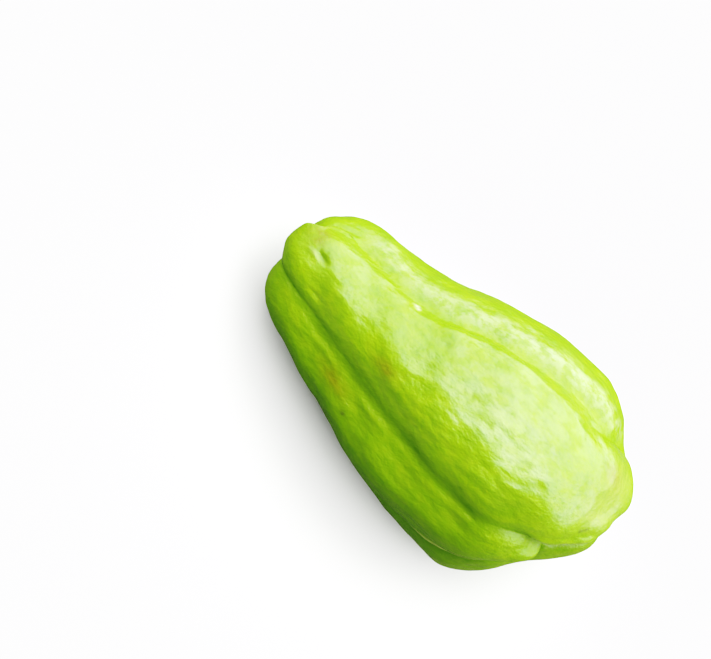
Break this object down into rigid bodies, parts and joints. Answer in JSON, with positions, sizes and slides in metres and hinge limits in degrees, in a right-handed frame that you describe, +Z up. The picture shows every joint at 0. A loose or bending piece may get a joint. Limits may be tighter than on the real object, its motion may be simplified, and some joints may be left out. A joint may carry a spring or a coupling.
{
  "type": "chayote squash",
  "caption": "Pear-shaped green chayote squash with deep lengthwise furrows between rounded lobes, a puckered cleft at its blossom end, lying on its side.",
  "frame": {"origin": "on the surface that the fruit lies on, under the middle of its bounding box", "axes": "+X along the fruit from its stem end to its blossom end, +Z up, as it lies"},
  "size_m": [0.1396, 0.079, 0.0765],
  "materials": {
    "skin": "thin, waxy, semi-gloss skin in mottled yellow-green, deeper green in the furrows"
  },
  "bodies": {
    "root": {"chayote": "skin"}
  },
  "joints": []
}
